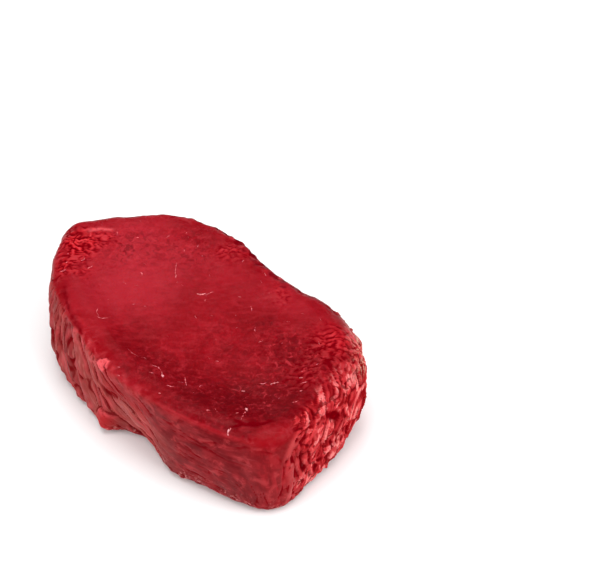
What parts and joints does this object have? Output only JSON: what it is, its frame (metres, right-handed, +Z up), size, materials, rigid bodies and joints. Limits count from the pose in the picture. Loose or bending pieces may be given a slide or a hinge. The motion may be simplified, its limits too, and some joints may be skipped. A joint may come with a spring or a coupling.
{
  "type": "beef round steak",
  "caption": "Thick raw beef round steak: one lean oval muscle cut across the grain, with rounded cut edges and ridged sides where the muscle bundles show.",
  "frame": {"origin": "on the plane it rests on, under the middle of its bounding box", "axes": "+X along the steak from its tapered end to its blunt end, +Z up through its thickness, -Y the long flank with slanting bundles"},
  "size_m": [0.1142, 0.068, 0.0338],
  "materials": {
    "meat": "moist raw beef, deep red on the cut face and a little browner on the side"
  },
  "bodies": {
    "root": {"steak": "meat"}
  },
  "joints": []
}
